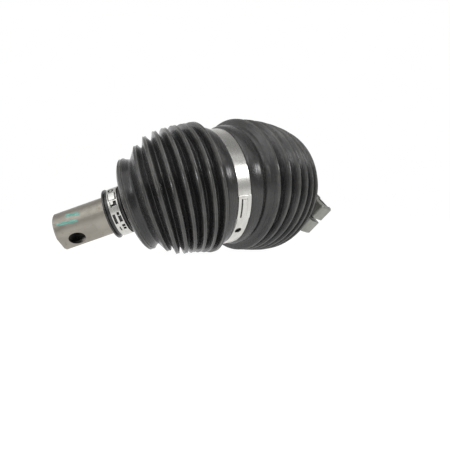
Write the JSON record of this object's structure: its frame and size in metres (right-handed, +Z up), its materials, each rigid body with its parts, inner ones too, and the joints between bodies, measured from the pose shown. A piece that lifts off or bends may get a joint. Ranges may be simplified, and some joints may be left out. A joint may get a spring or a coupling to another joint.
{
  "type": "double universal steering joint",
  "caption": "Steering shaft joint: two universal joints on a centre ring under rubber bellows, between a bored hub and a split clamp yoke.",
  "frame": {"origin": "middle of the bounding box, on the surface that the bent part rests on", "axes": "+Z up as it lies on a table, +X from the hub's side to the clamp yoke's side along the centre ring"},
  "size_m": [0.2042, 0.0976, 0.0868],
  "materials": {
    "rubber": "semi-gloss moulded rubber",
    "seal_rubber": "matt",
    "hub_steel": "satin turned steel",
    "yoke_steel": "satin forged and milled steel",
    "stainless_strip": "bright rolled stainless strip",
    "ring_steel": "forged and machined",
    "bearing_steel": "ground",
    "spring_steel": "oiled"
  },
  "bodies": {
    "ring": {"band_clamp": "stainless_strip", "coupling_ring": "ring_steel", "left_boot": "rubber", "left_ring_front_bearing_cup": "bearing_steel", "left_ring_front_circlip": "spring_steel", "left_ring_front_needle_rollers": "bearing_steel", "left_ring_rear_bearing_cup": "bearing_steel", "left_ring_rear_circlip": "spring_steel", "left_ring_rear_needle_rollers": "bearing_steel", "right_boot": "rubber", "right_ring_front_bearing_cup": "bearing_steel", "right_ring_front_circlip": "spring_steel", "right_ring_front_needle_rollers": "bearing_steel", "right_ring_rear_bearing_cup": "bearing_steel", "right_ring_rear_circlip": "spring_steel", "right_ring_rear_needle_rollers": "bearing_steel"},
    "left_spider": {"left_cross": "ring_steel", "left_ring_front_trunnion_seal": "seal_rubber", "left_ring_rear_trunnion_seal": "seal_rubber", "left_yoke_lower_trunnion_seal": "seal_rubber", "left_yoke_upper_trunnion_seal": "seal_rubber"},
    "left_shaft": {"left_hub_yoke": "hub_steel", "left_neck_clamp": "stainless_strip", "left_yoke_lower_bearing_cup": "bearing_steel", "left_yoke_lower_circlip": "spring_steel", "left_yoke_lower_needle_rollers": "bearing_steel", "left_yoke_upper_bearing_cup": "bearing_steel", "left_yoke_upper_circlip": "spring_steel", "left_yoke_upper_needle_rollers": "bearing_steel"},
    "right_shaft": {"right_clamp_yoke": "yoke_steel", "right_neck_clamp": "stainless_strip", "right_yoke_lower_bearing_cup": "bearing_steel", "right_yoke_lower_circlip": "spring_steel", "right_yoke_lower_needle_rollers": "bearing_steel", "right_yoke_upper_bearing_cup": "bearing_steel", "right_yoke_upper_circlip": "spring_steel", "right_yoke_upper_needle_rollers": "bearing_steel"},
    "right_spider": {"right_cross": "ring_steel", "right_ring_front_trunnion_seal": "seal_rubber", "right_ring_rear_trunnion_seal": "seal_rubber", "right_yoke_lower_trunnion_seal": "seal_rubber", "right_yoke_upper_trunnion_seal": "seal_rubber"}
  },
  "joints": [
    {"name": "left_fold", "type": "hinge", "parent": "ring", "child": "left_spider", "pos_m": [-0.03371, -0.00606, 0.03949], "axis": [-0.1107, 0.4229, 0.8994], "range_deg": [-2.5, 77.5], "deforming": ["left_boot"]},
    {"name": "left_swing", "type": "hinge", "parent": "left_spider", "child": "left_shaft", "pos_m": [-0.03371, -0.00606, 0.03949], "axis": [-0.6452, -0.7189, 0.2586], "range_deg": [-25, 25], "deforming": ["left_boot"]},
    {"name": "right_fold", "type": "hinge", "parent": "ring", "child": "right_spider", "pos_m": [0.02187, -0.00606, 0.04633], "axis": [0.1107, -0.4229, -0.8994], "range_deg": [-2.5, 77.5], "deforming": ["right_boot"]},
    {"name": "right_swing", "type": "hinge", "parent": "right_spider", "child": "right_shaft", "pos_m": [0.02187, -0.00606, 0.04633], "axis": [0.5632, -0.7189, 0.4074], "range_deg": [-25, 25], "deforming": ["right_boot"]}
  ]
}
